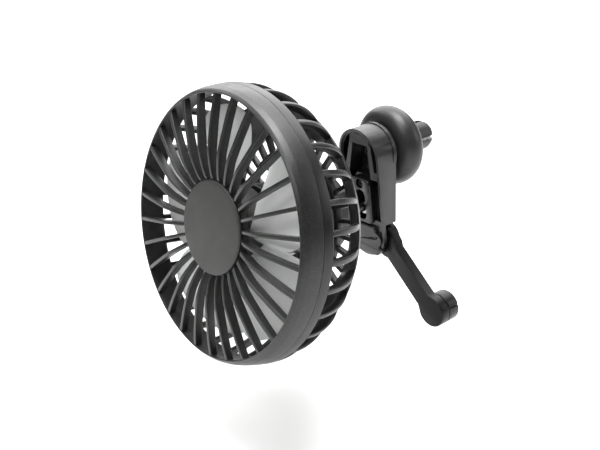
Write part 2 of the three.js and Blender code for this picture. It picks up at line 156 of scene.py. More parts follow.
def bm_loft(bm, loops, closed=False):
    """Closed loops of points joined one to the next, ends capped."""
    vs = [[bm.verts.new(p) for p in lp] for lp in loops]
    n = len(loops[0])
    m = len(vs)
    for k in range(m if closed else m - 1):
        A, B = vs[k], vs[(k + 1) % m]
        for i in range(n):
            j = (i + 1) % n
            bm.faces.new((A[i], A[j], B[j], B[i]))
    if not closed:
        bm.faces.new(vs[0])
        bm.faces.new(list(reversed(vs[-1])))


def bm_prism(bm, outline, y0, y1):
    """Outline in x, z pushed along Y."""
    a = [bm.verts.new((x, y0, z)) for x, z in outline]
    b = [bm.verts.new((x, y1, z)) for x, z in outline]
    n = len(a)
    for i in range(n):
        j = (i + 1) % n
        bm.faces.new((a[i], a[j], b[j], b[i]))
    bm.faces.new(a)
    bm.faces.new(list(reversed(b)))


def bm_prism_x(bm, outline, x0, x1):
    """Outline in y, z pushed along X."""
    a = [bm.verts.new((x0, y, z)) for y, z in outline]
    b = [bm.verts.new((x1, y, z)) for y, z in outline]
    n = len(a)
    for i in range(n):
        j = (i + 1) % n
        bm.faces.new((a[i], a[j], b[j], b[i]))
    bm.faces.new(a)
    bm.faces.new(list(reversed(b)))


def solid(build, *args, **kw):
    bm = bmesh.new()
    build(bm, *args, **kw)
    bmesh.ops.remove_doubles(bm, verts=bm.verts, dist=1e-4)
    bmesh.ops.recalc_face_normals(bm, faces=bm.faces)
    me = bpy.data.meshes.new("tmp")
    bm.to_mesh(me)
    bm.free()
    if signed_volume(me) < 0:
        me.flip_normals()
    ob = bpy.data.objects.new("tmp", me)
    bpy.context.scene.collection.objects.link(ob)
    return ob


def lathe(profile, seg=96, phase=0.0):
    return solid(bm_lathe, profile, seg, phase)


def prism(outline, y0, y1):
    return solid(bm_prism, outline, y0, y1)


def prism_x(outline, x0, x1):
    return solid(bm_prism_x, outline, x0, x1)


def cyl(r, y0, y1, seg=48, x=0.0, z=0.0):
    return prism([(x + r * math.cos(2 * PI * k / seg), z + r * math.sin(2 * PI * k / seg)) for k in range(seg)], y0, y1)


def box(x0, x1, y0, y1, z0, z1):
    return prism([(x0, z0), (x1, z0), (x1, z1), (x0, z1)], y0, y1)


def ball(r, y, z, seg=64):
    pts = [(r * math.sin(PI * i / 32), y - r * math.cos(PI * i / 32)) for i in range(33)]
    pts[0] = (0, y - r); pts[-1] = (0, y + r)
    o = lathe(pts, seg)
    o.data.transform(Matrix.Translation((0, 0, z)))
    return o


def boolean(a, b, op):
    m = a.modifiers.new("b", "BOOLEAN")
    m.operation = op
    m.solver = "EXACT"
    m.object = b
    dg = bpy.context.evaluated_depsgraph_get()
    dg.update()
    me = bpy.data.meshes.new_from_object(a.evaluated_get(dg))
    old = a.data
    a.modifiers.clear()
    a.data = me
    bpy.data.meshes.remove(old)
    mb = b.data
    bpy.data.objects.remove(b)
    bpy.data.meshes.remove(mb)
    return a


def add(a, *bs):
    for b in bs:
        a = boolean(a, b, "UNION")
    return a


def cut(a, *bs):
    for b in bs:
        a = boolean(a, b, "DIFFERENCE")
    return a


def bevelled(ob, name, matrix, width=0.3, segments=3, limit=30.0, sharp=35.0, merge=0.004):
    """Rounds the edges of a solid in millimetres, names it and puts it in place."""
    bm = bmesh.new()
    bm.from_mesh(ob.data)
    bmesh.ops.remove_doubles(bm, verts=bm.verts, dist=merge)
    bmesh.ops.dissolve_degenerate(bm, edges=bm.edges, dist=merge)
    bmesh.ops.dissolve_limit(bm, angle_limit=math.radians(0.6), verts=bm.verts, edges=bm.edges)
    bm.to_mesh(ob.data)
    bm.free()
    if width > 0:
        m = ob.modifiers.new("bevel", "BEVEL")
        m.width = width
        m.segments = segments
        m.limit_method = "ANGLE"
        m.angle_limit = math.radians(limit)
        m.use_clamp_overlap = True
        dg = bpy.context.evaluated_depsgraph_get()
        dg.update()
        me = bpy.data.meshes.new_from_object(ob.evaluated_get(dg))
        old = ob.data
        ob.modifiers.clear()
        ob.data = me
        bpy.data.meshes.remove(old)
    me = ob.data
    me.transform(matrix)
    for p in me.polygons:
        p.use_smooth = True
    me.set_sharp_from_angle(angle=math.radians(sharp))
    ob.name = name
    me.name = name
    return ob


def arc(cx, cy, r, a0, a1, n):
    return [(cx + r * math.cos(math.radians(a0 + (a1 - a0) * i / n)), cy + r * math.sin(math.radians(a0 + (a1 - a0) * i / n))) for i in range(n + 1)]


def stadium(r, drop, n=40, top=0.0):
    return arc(0, top, r, 0, 180, n) + arc(0, top - drop, r, 180, 360, n)


def round_rect(x0, x1, y0, y1, r, n=10):
    return (arc(x1 - r, y1 - r, r, 0, 90, n) + arc(x0 + r, y1 - r, r, 90, 180, n)
            + arc(x0 + r, y0 + r, r, 180, 270, n) + arc(x1 - r, y0 + r, r, 270, 360, n))


def smooth_curve(points, n):
    """Catmull-Rom through the points, n samples."""
    P = [Vector(p) for p in points]
    out = []
    m = len(P) - 1
    for i in range(n):
        t = i / (n - 1) * m
        k = min(int(t), m - 1)
        u = t - k
        p0, p1, p2, p3 = P[max(k - 1, 0)], P[k], P[k + 1], P[min(k + 2, m)]
        out.append(0.5 * ((2 * p1) + (p2 - p0) * u + (2 * p0 - 5 * p1 + 4 * p2 - p3) * u * u + (3 * p1 - p0 - 3 * p2 + p3) * u ** 3))
    return out


def section(a0, a1, w0, w1, r0, r1, n=4):
    """Rounded strip section: depth a0 to a1, width w0 at a0 and w1 at a1, corner radii r0 and r1."""
    return rounded([(a0, -w0 / 2, r0), (a1, -w1 / 2, r1), (a1, w1 / 2, r1), (a0, w0 / 2, r0)], 0, n)


# ------------------------------------------------------------------ materials
def material(name, base, rough, metallic=0.0, grain=0.0, grain_scale=5200.0, mottle=0.08, rough_var=0.06,
             wear=0.0, wear_color=(0.35, 0.35, 0.34), coat=0.0, coat_rough=0.2, fleck=0.0, streak=None, spec=0.5, ior=1.5,
             aniso=0.0, sheen=0.0, wave=0.0):
    m = bpy.data.materials.new(name)
    m.use_nodes = True
    nt = m.node_tree
    nd, lk = nt.nodes, nt.links
    nd.clear()
    out = nd.new("ShaderNodeOutputMaterial")
    bs = nd.new("ShaderNodeBsdfPrincipled")
    lk.new(bs.outputs[0], out.inputs[0])
    bs.inputs["Metallic"].default_value = metallic
    bs.inputs["IOR"].default_value = ior
    bs.inputs["Specular IOR Level"].default_value = spec
    bs.inputs["Coat Weight"].default_value = coat
    bs.inputs["Coat Roughness"].default_value = coat_rough
    bs.inputs["Anisotropic"].default_value = aniso
    if sheen:
        bs.inputs["Sheen Weight"].default_value = sheen
        bs.inputs["Sheen Roughness"].default_value = 0.5
    tc = nd.new("ShaderNodeTexCoord")

    def noise(scale, detail=3.0, rough_=0.55, vec=None):
        n = nd.new("ShaderNodeTexNoise")
        n.inputs["Scale"].default_value = scale
        n.inputs["Detail"].default_value = detail
        n.inputs["Roughness"].default_value = rough_
        lk.new(vec if vec is not None else tc.outputs["Object"], n.inputs["Vector"])
        return n

    def ramp(src, p0, c0, p1, c1):
        r = nd.new("ShaderNodeValToRGB")
        r.color_ramp.elements[0].position = p0
        r.color_ramp.elements[0].color = (*c0, 1)
        r.color_ramp.elements[1].position = p1
        r.color_ramp.elements[1].color = (*c1, 1)
        lk.new(src, r.inputs["Fac"])
        return r

    # colour: slow mottling, fine speckle
    slow = noise(42.0, 4.0)
    d = [max(0, c * (1 - mottle)) for c in base]
    l = [min(1, c * (1 + mottle)) for c in base]
    col = ramp(slow.outputs["Fac"], 0.35, d, 0.66, l).outputs["Color"]
    if fleck:
        fl = noise(grain_scale * 1.15, 1.0, 0.4)
        fr = ramp(fl.outputs["Fac"], 0.56, (0, 0, 0), 0.74, (fleck, fleck, fleck))
        mx = nd.new("ShaderNodeMix"); mx.data_type = "RGBA"; mx.blend_type = "ADD"
        mx.inputs["Factor"].default_value = 1.0
        lk.new(col, mx.inputs[6]); lk.new(fr.outputs["Color"], mx.inputs[7])
        col = mx.outputs[2]
    if streak is not None:
        # fine streaks along the chord, from stretched noise
        mp = nd.new("ShaderNodeMapping")
        mp.inputs["Scale"].default_value = streak
        lk.new(tc.outputs["Object"], mp.inputs["Vector"])
        sn = noise(30.0, 5.0, 0.65, mp.outputs["Vector"])
        sr = ramp(sn.outputs["Fac"], 0.30, (0.86, 0.86, 0.86), 0.72, (1.0, 1.0, 1.0))
        mx = nd.new("ShaderNodeMix"); mx.data_type = "RGBA"; mx.blend_type = "MULTIPLY"
        mx.inputs["Factor"].default_value = 1.0
        lk.new(col, mx.inputs[6]); lk.new(sr.outputs["Color"], mx.inputs[7])
        col = mx.outputs[2]
    if wear:
        ge = nd.new("ShaderNodeNewGeometry")
        bv = nd.new("ShaderNodeBevel")
        bv.samples = 4
        bv.inputs["Radius"].default_value = 0.00045
        dt = nd.new("ShaderNodeVectorMath"); dt.operation = "DOT_PRODUCT"
        lk.new(bv.outputs["Normal"], dt.inputs[0]); lk.new(ge.outputs["Normal"], dt.inputs[1])
        iv = nd.new("ShaderNodeMath"); iv.operation = "SUBTRACT"; iv.use_clamp = True
        iv.inputs[0].default_value = 1.0
        lk.new(dt.outputs["Value"], iv.inputs[1])
        ed = ramp(iv.outputs[0], 0.01, (0, 0, 0), 0.12, (wear, wear, wear))
        wn = noise(620.0, 4.0)
        wr = ramp(wn.outputs["Fac"], 0.42, (0.15, 0.15, 0.15), 0.62, (1, 1, 1))
        mm = nd.new("ShaderNodeMath"); mm.operation = "MULTIPLY"
        lk.new(ed.outputs["Color"], mm.inputs[0]); lk.new(wr.outputs["Color"], mm.inputs[1])
        mx = nd.new("ShaderNodeMix"); mx.data_type = "RGBA"
        lk.new(mm.outputs[0], mx.inputs["Factor"])
        lk.new(col, mx.inputs[6]); mx.inputs[7].default_value = (*wear_color, 1)
        col = mx.outputs[2]
    lk.new(col, bs.inputs["Base Color"])

    # roughness: base with handling smears
    rn = noise(95.0, 5.0, 0.6)
    mr = nd.new("ShaderNodeMapRange")
    mr.inputs["From Min"].default_value = 0.3
    mr.inputs["From Max"].default_value = 0.7
    mr.inputs["To Min"].default_value = max(0.03, rough - rough_var)
    mr.inputs["To Max"].default_value = min(1.0, rough + rough_var)
    lk.new(rn.outputs["Fac"], mr.inputs["Value"])
    lk.new(mr.outputs["Result"], bs.inputs["Roughness"])

    # bump: moulding grain over a very slow waviness
    normal = None
    if wave:
        wn = noise(130.0, 2.0)
        bw = nd.new("ShaderNodeBump")
        bw.inputs["Strength"].default_value = wave
        bw.inputs["Distance"].default_value = 0.0004
        lk.new(wn.outputs["Fac"], bw.inputs["Height"])
        normal = bw.outputs["Normal"]
    if grain:
        gn = noise(grain_scale, 2.0, 0.5)
        bp = nd.new("ShaderNodeBump")
        bp.inputs["Strength"].default_value = grain
        bp.inputs["Distance"].default_value = 0.0001
        lk.new(gn.outputs["Fac"], bp.inputs["Height"])
        if normal is not None:
            lk.new(normal, bp.inputs["Normal"])
        normal = bp.outputs["Normal"]
    if normal is not None:
        lk.new(normal, bs.inputs["Normal"])
        if coat:
            lk.new(normal, bs.inputs["Coat Normal"])
    return m


M = {
    "guard_plastic": material("guard_satin", (0.0135, 0.0140, 0.0134), 0.36, grain=0.34, grain_scale=4300, fleck=0.05, mottle=0.10, wear=0.30, wear_color=(0.16, 0.16, 0.155), spec=0.62, metallic=0.18),
    "badge_plastic": material("badge_satin", (0.040, 0.041, 0.039), 0.46, grain=0.30, grain_scale=4800, fleck=0.035, mottle=0.06, metallic=0.25, spec=0.55),
    "cage_plastic": material("cage_satin", (0.0062, 0.0064, 0.0066), 0.34, grain=0.20, grain_scale=4200, mottle=0.15, wear=0.35, wear_color=(0.12, 0.12, 0.118), spec=0.55),
    "rotor_plastic": material("rotor_silver", (0.94, 0.955, 0.942), 0.36, grain=0.05, grain_scale=2600, mottle=0.03, rough_var=0.03, metallic=0.08, coat=0.12, coat_rough=0.2),
    # rotor hub: a darker grey than the blades' silver, painted shade standing in for the shadow the guard's hub throws
    # on it
    "hub_plastic": material("hub_painted_shade_grey", (0.055, 0.056, 0.054), 0.38, grain=0.2, mottle=0.08, metallic=0.2),
    "steel": material("plated_steel", (0.55, 0.55, 0.54), 0.27, metallic=1.0, grain=0.10, grain_scale=2400, mottle=0.08, rough_var=0.08, streak=(3.0, 26.0, 3.0), aniso=0.3),
    "endcap_plastic": material("endcap_black", (0.010, 0.010, 0.010), 0.55, grain=0.3),
    "lead_red": material("lead_red", (0.26, 0.012, 0.010), 0.42, grain=0.15, mottle=0.12),
    "lead_black": material("lead_black", (0.006, 0.006, 0.006), 0.42, grain=0.15),
    "board": material("solder_mask", (0.010, 0.070, 0.026), 0.30, grain=0.12, grain_scale=1500, mottle=0.22, coat=0.3),
    "switch_plastic": material("switch_black", (0.013, 0.013, 0.013), 0.45, grain=0.25),
    "button_plastic": material("button_satin", (0.030, 0.031, 0.031), 0.36, grain=0.25, grain_scale=5200, mottle=0.1, wear=0.3, wear_color=(0.12, 0.12, 0.12)),
    "pod_plastic": material("pod_satin", (0.0105, 0.0108, 0.0112), 0.38, grain=0.32, grain_scale=4200, mottle=0.15, wear=0.3, wear_color=(0.10, 0.10, 0.10)),
    "liner_plastic": material("acetal", (0.66, 0.63, 0.56), 0.42, grain=0.12, mottle=0.05),
    "arm_plastic": material("arm_satin", (0.0080, 0.0082, 0.0080), 0.34, grain=0.26, grain_scale=4600, mottle=0.14, wear=0.40, wear_color=(0.11, 0.11, 0.108), spec=0.55),
    "cover_plastic": material("cover_satin", (0.0050, 0.0050, 0.0048), 0.34, grain=0.22, grain_scale=4600, mottle=0.12, wear=0.35, wear_color=(0.12, 0.12, 0.118)),
    "collet_plastic": material("collet_satin", (0.017, 0.0175, 0.017), 0.44, grain=0.30, grain_scale=4600, mottle=0.12, wear=0.35, wear_color=(0.13, 0.13, 0.128)),
    "nut_plastic": material("nut_satin", (0.0150, 0.0154, 0.0149), 0.36, grain=0.22, grain_scale=4600, mottle=0.12, fleck=0.02, wear=0.2, wear_color=(0.13, 0.13, 0.13)),
    "ring_plastic": material("ring_grey", (0.10, 0.10, 0.098), 0.48, grain=0.2),
    "leg_plastic": material("leg_matte", (0.0045, 0.0047, 0.0045), 0.38, grain=0.20, grain_scale=3600, mottle=0.16, spec=0.22, wear=0.22, wear_color=(0.08, 0.08, 0.078)),
    "pad_rubber": material("pad_rubber", (0.0050, 0.0050, 0.0048), 0.30, spec=0.30, grain=0.22, grain_scale=3000, mottle=0.22, rough_var=0.10, sheen=0.05, wear=0.25, wear_color=(0.05, 0.05, 0.048)),
}
BODY = {n: b for b, ns in frame["record"]["behaviour"]["bodies"].items() for n in ns}
SLOT = {s["node"]: s["material_slot"] for s in frame["record"]["subparts"]}


BLACKED = material("blacked_steel", (0.012, 0.012, 0.0115), 0.34, metallic=0.6, grain=0.12, grain_scale=2400, mottle=0.12, rough_var=0.08, wear=0.4, wear_color=(0.12, 0.12, 0.118))


def dress(ob, node, mats=None):
    """Gives a new piece the material of the node it stands for, and rides it on that node's body."""
    which = [f.material_index for f in ob.data.polygons]
    ob.data.materials.clear()
    mats = mats or [M[SLOT[node]]]
    for x in mats:
        ob.data.materials.append(x)
    if len(mats) > 1:
        ob.data.polygons.foreach_set("material_index", which)
    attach(ob, BODY[node])
    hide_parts(node)
    return ob


for n, o in frame["nodes"].items():
    o.data.materials.clear()
    o.data.materials.append(M[SLOT[n]])


def polar(r, y, t, f):
    return (r * math.cos(f) - t * math.sin(f), y, r * math.sin(f) + t * math.cos(f))


# ------------------------------------------------------------------ front guard
def front_guard():
    bm = bmesh.new()
    bezel = rounded([(50.75, 0.25, 0.2), (51.25, 0.0, 0.25), (52.35, 0.95, 0.9), (53.3, 3.0, 2.0), (53.90, 5.4, 2.0), (54.38, 8.12, 0.12),
                     (52.65, 8.12, 0.1), (52.65, 10.55, 0.2), (51.25, 10.55, 0.2), (51.2, 4.0, 0.4)], 0.2, 6)
    bm_lathe(bm, bezel, 288)
    hub = rounded([(0, 0.9), (18.85, 0.9, 0.2), (18.85, 3.3, 0.3), (16.8, 3.3, 0.3), (16.8, 2.4, 0.2), (0, 2.4)], 0, 4)
    bm_lathe(bm, hub, 180)
    crest = smooth_curve([(18.0, 0.95, 0), (19.6, -0.55, 0), (24.5, -1.65, 0), (29.2, -2.28, 0), (33.0, -2.10, 0), (39.0, -1.50, 0), (45.5, -0.72, 0), (51.6, 0.35, 0)], 26)
    back = smooth_curve([(18.0, 2.7, 0), (19.6, 2.75, 0), (24.5, 2.2, 0), (29.2, 1.65, 0), (33.0, 1.75, 0), (39.0, 2.1, 0), (45.5, 2.7, 0), (51.6, 3.4, 0)], 26)
    for i in range(SPOKES):
        f = i * 2 * PI / SPOKES
        loops = []
        for c, b in zip(crest, back):
            u = (c.x - 18) / 33.6
            w = 1.30 + 0.42 * u
            loops.append([polar(c.x + (b.x - c.x) * 0, y, t, f) for y, t in section(c.y, b.y, w, w * 0.78, 0.36, 0.30)])
        bm_loft(bm, loops)
    return finish_mesh(bm, "guard_grille", HEAD, 34)


dress(front_guard(), "front_guard")

bm = bmesh.new()
bm_lathe(bm, rounded([(0, -0.70), (16.6, -0.70, 3.0), (17.75, -0.62, 0.5), (18.25, -0.30, 0.35), (18.25, 0.6, 0.15), (0, 0.6)], 0, 6), 240)
dress(finish_mesh(bm, "badge_plate", HEAD, 30), "badge_disc")


# ------------------------------------------------------------------ rear cage
def rear_cage():
    bm = bmesh.new()
    bm_lathe(bm, rounded([(54.40, 8.22, 0.12), (54.90, 12.35, 0.45), (52.95, 12.35, 0.35), (52.95, 8.22, 0.12)], 0.2, 5), 256)
    ring = rounded([(48.0, 31.2, 0.5), (44.8, 35.0, 6.0), (38.6, 40.9, 5.0), (36.2, 41.95, 0.8), (35.1, 41.95, 0.4), (35.1, 38.9, 0.4), (43.6, 31.2, 0.3)], 0.3, 6)
    bm_lathe(bm, ring, 256)
    bm_lathe(bm, rounded([(28.4, 38.8), (28.4, 41.7), (26.1, 41.7), (26.1, 38.8)], 0.45, 4), 160)
    outer = smooth_curve([(54.9, 12.0, 0), (54.75, 15.5, 0), (53.9, 20.0, 0), (52.3, 24.5, 0), (50.2, 28.3, 0), (47.4, 31.9, 0)], 18)
    inner = smooth_curve([(52.6, 12.0, 0), (52.0, 15.5, 0), (50.7, 20.0, 0), (48.6, 24.5, 0), (46.6, 28.0, 0), (44.6, 31.9, 0)], 18)
    for i in range(RIBS):
        f = RIB_TURN + i * 2 * PI / RIBS
        loops = []
        for o, n in zip(outer, inner):
            d = (o - n)
            L = d.length
            loops.append([polar(n.x + d.x * a / L, n.y + d.y * a / L, t, f) for a, t in section(0, L, 1.75, 2.45, 0.35, 0.6)])
        bm_loft(bm, loops)
        r0 = 27.2 if i % 2 else 14.6
        loops = []
        for k in range(8):
            r = r0 + (37.4 - r0) * k / 7
            top = 41.9 - 0.35 * max(0, (r - 35.5)) / 1.9
            loops.append([polar(r, y, t, f) for y, t in section(39.05, top, 1.7, 2.15, 0.3, 0.5)])
        bm_loft(bm, loops)
    body = finish_mesh(bm, "tmp", Matrix.Identity(4), 40)
    cup = lathe(rounded([(0, 40.0), (12.7, 40.0, 0.5), (12.7, 19.0, 0.4), (15.2, 19.0, 0.5), (15.2, 42.0, 0.4), (0, 42.0)], 0, 4), 128)
    cup = cut(cup, cyl(4.2, 39, 43, 48), cyl(1.2, 39, 43, 24, 8.5), cyl(1.2, 39, 43, 24, -8.5))
    for a in (45, 135, 225, 315):
        cup = cut(cup, cyl(1.0, 36.5, 43, 20, 13.9 * math.cos(math.radians(a)), 13.9 * math.sin(math.radians(a))))
    bm = bmesh.new()
    bm.from_mesh(body.data)
    bm.from_mesh(cup.data)
    for t in (body, cup):
        d = t.data
        bpy.data.objects.remove(t)
        bpy.data.meshes.remove(d)
    me = bpy.data.meshes.new("cage_frame")
    bm.to_mesh(me)
    bm.free()
    me.transform(HEAD)
    for p in me.polygons:
        p.use_smooth = True
    me.set_sharp_from_angle(angle=math.radians(36))
    ob = bpy.data.objects.new("cage_frame", me)
    bpy.context.scene.collection.objects.link(ob)
    return ob


dress(rear_cage(), "rear_cage")


# ------------------------------------------------------------------ rotor
def fan_blades():
    bm = bmesh.new()
    NR, NW = 22, 26
    TIP = 46.5
    for b in range(BLADES):
        loops = []
        for j in range(NR + 1):
            u = j / NR
            top, bot = [], []
            for k in range(NW + 1):
                w = 0.5 - 0.5 * math.cos(PI * k / NW)
                r = 14.2 + (TIP - 14.2) * u
                span = 58 + 8 * math.sin(PI * min(1, u * 0.95))
                sweep = 5 * u * u - 1
                edge = 1 - 0.11 * (2 * w - 1) ** 4 * u * u
                a = math.radians(BLADE_TURN + b * 72.0 + sweep + (w - 0.5) * span)
                rr = 13.9 + (r - 13.9) * edge
                rise = (w - 0.5) * (9.4 - 1.6 * u) - 0.9 * math.sin(PI * w)
                th = (1.65 - 0.6 * u) * max(0.0, 1 - (2 * w - 1) ** 6) ** 0.5 * (1 if u < 0.97 else 0.55)
                x, z = rr * math.cos(a), rr * math.sin(a)
                top.append((x, 11.2 + rise + th / 2, z))
                bot.append((x, 11.2 + rise - th / 2, z))
            loops.append(top + list(reversed(bot[1:-1])))
        bm_loft(bm, loops)
    return bm


def rotor():
    bm = fan_blades()
    n_blades = len(bm.faces)
    bm_lathe(bm, rounded([(0, 5.0), (9.0, 5.15, 8.0), (13.4, 5.6, 1.2), (14.95, 6.8, 0.9), (15.0, 16.2, 0.35), (13.4, 16.2, 0.3), (13.4, 7.4, 0.5), (3.2, 7.3, 0.3),
                          (3.2, 14.5, 0.3), (1.3, 14.5, 0.15), (1.3, 6.9), (0, 6.9)], 0, 6), 144)
    # hub faces take material 1, the darker grey that paints the shade on the hub
    for f in list(bm.faces)[n_blades:]:
        f.material_index = 1
    ob = finish_mesh(bm, "impeller", HEAD, 50, 1e-5)
    return ob


# blades in silver, hub in the painted-shade grey
dress(rotor(), "fan_rotor", [M["rotor_plastic"], M["hub_plastic"]])

# ------------------------------------------------------------------ motor
can = lathe(rounded([(0, 17.4), (3.6, 17.4, 0.3), (3.6, 19.3, 0.25), (12.2, 19.3, 0.9), (12.2, 38.4, 0.6), (0, 38.4)], 0, 5), 128)
can = cut(can, cyl(1.3, 17, 24.2, 32))
for k in range(4):
    f = math.radians(45 + 90 * k)
    can = cut(can, cyl(1.5, 18.9, 20.0, 24, 8.2 * math.cos(f), 8.2 * math.sin(f)))
dress(bevelled(can, "motor_body", HEAD, 0.0), "motor_can")

sh = lathe(rounded([(0, 7.4), (1.0, 7.4, 0.2), (1.0, 23.5, 0.2), (0, 23.5)], 0, 3), 40)
dress(bevelled(sh, "drive_shaft", HEAD, 0.0), "motor_shaft")


# ------------------------------------------------------------------ screws
def cross_screw(name, node, matrix, x, z, y_head, r, height, shank_r, y_end, up=1, cross=True):
    """Domed screw along Y: the head's outer face is towards up."""
    prof = rounded([(0, height), (r * 0.55, height * 0.96, r * 0.4), (r * 0.93, height * 0.55, r * 0.3), (r, 0, 0.12), (shank_r, 0, 0.1), (shank_r, -y_end + 0.3, 0.2), (shank_r * 0.6, -y_end, 0.1), (0, -y_end)], 0, 5)
    o = lathe(prof, 48)
    if cross:
        w = r * 0.17
        o = cut(o, box(-w, w, height * 0.25, height + 1, -r * 0.62, r * 0.62))
        o = cut(o, box(-r * 0.62, r * 0.62, height * 0.25, height + 1, -w, w))
    m = Matrix.Translation((x, y_head, z)) @ (Matrix.Identity(4) if up > 0 else Matrix.Rotation(PI, 4, "Z"))
    o.data.transform(m)
    dress(bevelled(o, name, matrix, 0.06, 2, 40), node, [BLACKED] if node in ("cover_screw", "clamp_screw") else None)


for i, a in enumerate((45, 135, 225, 315)):
    cross_screw(f"pod_fastener_{i + 1}", f"pod_screw_{i + 1}", HEAD, 13.9 * math.cos(math.radians(a)), 13.9 * math.sin(math.radians(a)), 55.6, 2.0, 1.25, 0.7, 18.4)
cross_screw("cover_fastener", "cover_screw", MOUNT, 0, -12.9, 2.1, 1.9, 1.05, 0.8, 5.6, -1)
cross_screw("clamp_fastener", "clamp_screw", MOUNT, 0, 0, 7.6, 2.6, 1.3, 0.9, 14.3, -1)
cross_screw("leg_fastener", "leg_screw", MOUNT, LEG_PIVOT[0], LEG_PIVOT[1], 12.3, 2.9, 1.2, 0.9, 8.4)


# ------------------------------------------------------------------ rear housing
def pod():
    o = lathe(rounded([(0, 54.8), (15.8, 54.8, 0.6), (15.8, 42.4, 0.3), (17.6, 42.4, 0.35), (17.6, 55.2, 1.4), (16.8, 57.0, 0.9), (9.4, 57.0, 2.4), (6.4, 60.0, 2.2), (5.8, 68.0, 0.5), (0, 68.0)], 0, 6), 144)
    ped = prism_x([(44.7, -14.0), (54.7, -14.0), (54.7, -18.4), (44.7, -18.4)], -8.0, 8.0)
    bm = bmesh.new(); bm.from_mesh(ped.data)
    bmesh.ops.bevel(bm, geom=bm.edges[:], offset=0.7, segments=3, affect="EDGES", profile=0.5)
    bm.to_mesh(ped.data); bm.free()
    ped = cut(ped, cyl(15.8, 40, 54.8, 144))
    o = add(o, ped)
    for a in (45, 135, 225, 315):
        o = add(o, cyl(2.4, 42.4, 55.5, 32, 13.9 * math.cos(math.radians(a)), 13.9 * math.sin(math.radians(a))))
    o = cut(o, cyl(2.3, 50, 70, 48))
    for a in (45, 135, 225, 315):
        x, z = 13.9 * math.cos(math.radians(a)), 13.9 * math.sin(math.radians(a))
        o = cut(o, cyl(1.0, 42, 58, 24, x, z), cyl(2.3, 55.3, 58, 36, x, z))
    b = cyl(3.8, 12, 20, 64)
    b.data.transform(Matrix.Translation((0, 50.3, 0)) @ Matrix.Rotation(PI / 2, 4, "X"))
    if min(v.co.z for v in b.data.vertices) < 0:
        b.data.transform(Matrix.Scale(-1, 4, (0, 0, 1)))
        b.data.flip_normals()
    o = cut(o, b)
    slot = prism(round_rect(-4.8, 4.8, 45.85, 49.75, 1.4, 8), -20, -12)
    slot.data.transform(Matrix(((1, 0, 0, 0), (0, 0, 1, 0), (0, 1, 0, 0), (0, 0, 0, 1))))
    slot.data.flip_normals()
    o = cut(o, slot)
    return bevelled(o, "pod_housing", HEAD, 0.14, 2, 40)


dress(pod(), "pod_shell")


def along_z(ob, x, y):
    """Turns a Y-axis solid to point along +Z at x, y."""
    ob.data.transform(Matrix.Translation((x, y, 0)) @ Matrix.Rotation(PI / 2, 4, "X"))
    return ob


btn = lathe(rounded([(0, 11.6), (4.1, 11.6, 0.2), (4.1, 12.7, 0.2), (3.5, 12.7, 0.1), (3.5, 18.45, 0.5), (2.3, 18.55, 0.5), (1.4, 18.30, 0.8), (0, 18.22)], 0, 5), 96)
dress(bevelled(along_z(btn, 0, 50.3), "push_button", HEAD, 0.0), "speed_button")


def inlet():
    def rr(x, y, r, z0, z1):
        o = prism(round_rect(-x, x, 47.8 - y, 47.8 + y, r, 10), z0, z1)
        o.data.transform(Matrix(((1, 0, 0, 0), (0, 0, 1, 0), (0, 1, 0, 0), (0, 0, 0, 1))))
        o.data.flip_normals()
        return o
    o = cut(rr(4.48, 1.65, 1.62, -17.6, -10.0), rr(4.17, 1.33, 1.3, -18.5, -11.4))
    o = add(o, rr(3.2, 0.33, 0.28, -16.6, -11.0))
    return bevelled(o, "inlet_socket", HEAD, 0.06, 2, 40)


dress(inlet(), "usb_inlet")

# ------------------------------------------------------------------ ball stud and its seat
nr = 1.9
a0 = math.asin(nr / BALL_R)
prof = [(0, 50.4), (1.7, 50.4), (2.0, 50.7), (2.0, 68.3), (4.4, 68.3), (4.6, 68.5), (4.6, 70.0), (4.3, 70.4), (3.0, 71.4), (2.3, 72.6), (1.95, 74.2), (1.9, 76.0)]
prof += [(0.0 if i == 24 else BALL_R * math.sin(a0 + (PI - a0) * i / 24), BALL_HY - BALL_R * math.cos(a0 + (PI - a0) * i / 24)) for i in range(25)]
dress(bevelled(lathe(prof, 64), "ball_pin", HEAD, 0.0, sharp=28), "ball_stud")


# ------------------------------------------------------------------ arm
def slant_cut(off, y0):
    return prism_x([(y0, 30), (off - SLANT * 30, 30), (off + SLANT * 70, -70), (y0, -70)], -30, 30)


